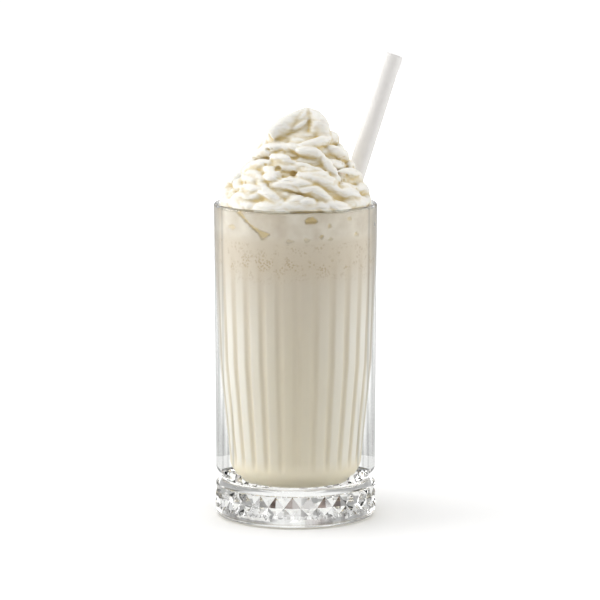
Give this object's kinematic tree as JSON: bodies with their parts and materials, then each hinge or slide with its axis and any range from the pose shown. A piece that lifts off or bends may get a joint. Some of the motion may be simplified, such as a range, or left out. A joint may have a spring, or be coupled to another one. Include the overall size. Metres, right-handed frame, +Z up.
{
  "type": "milkshake in a glass",
  "caption": "Vanilla milkshake in a tall pressed glass with a faceted foot, topped with piped whipped cream and a straw.",
  "frame": {"origin": "middle of the glass's flat underside, on the surface it stands on", "axes": "+Z up the glass, -Y to the front as the picture shows it, +X to the side that the straw leans to"},
  "size_m": [0.0907, 0.078, 0.2206],
  "materials": {
    "clear_glass": "clear polished glass",
    "milkshake": "smooth milky drink with small bubbles",
    "whipped_cream": "soft whipped cream with a dull sheen",
    "white_straw": "smooth white"
  },
  "bodies": {
    "root": {"glass": "clear_glass", "milkshake": "milkshake", "whipped_cream": "whipped_cream", "straw": "white_straw"}
  },
  "joints": []
}
